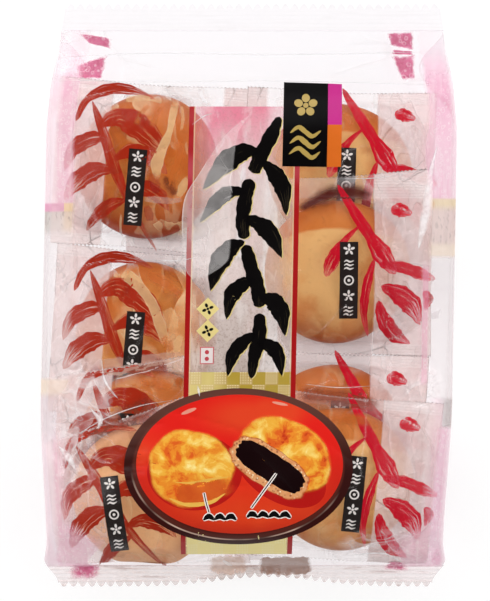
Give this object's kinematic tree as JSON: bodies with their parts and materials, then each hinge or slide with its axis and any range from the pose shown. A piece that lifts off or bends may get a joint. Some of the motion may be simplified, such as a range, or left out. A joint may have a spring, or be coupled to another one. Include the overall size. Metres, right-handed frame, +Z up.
{
  "type": "sealed clear bag of bean paste pies",
  "caption": "Side-gusseted clear film bag, filled with wrapped round bean paste pies, with zigzag-cut end seals, lying on its back.",
  "frame": {"origin": "middle of the bag's bounding box, at the level of the table that it lies on", "axes": "+X across the width, +Y along the length from the foot seal to the header, +Z up through the front panel"},
  "size_m": [0.1736, 0.245, 0.0391],
  "materials": {
    "clear_film": "thin glossy clear film with pale pink printed sides, lightly crinkled",
    "printed_film": "ink printed on glossy film",
    "wrapper_film": "thin frosted inner wrapper film",
    "label_ink": "dark glossy printed strip",
    "pie_crust": "baked golden crust with an egg-wash gloss"
  },
  "bodies": {
    "root": {"sealed_bag": "clear_film"}
  },
  "joints": []
}
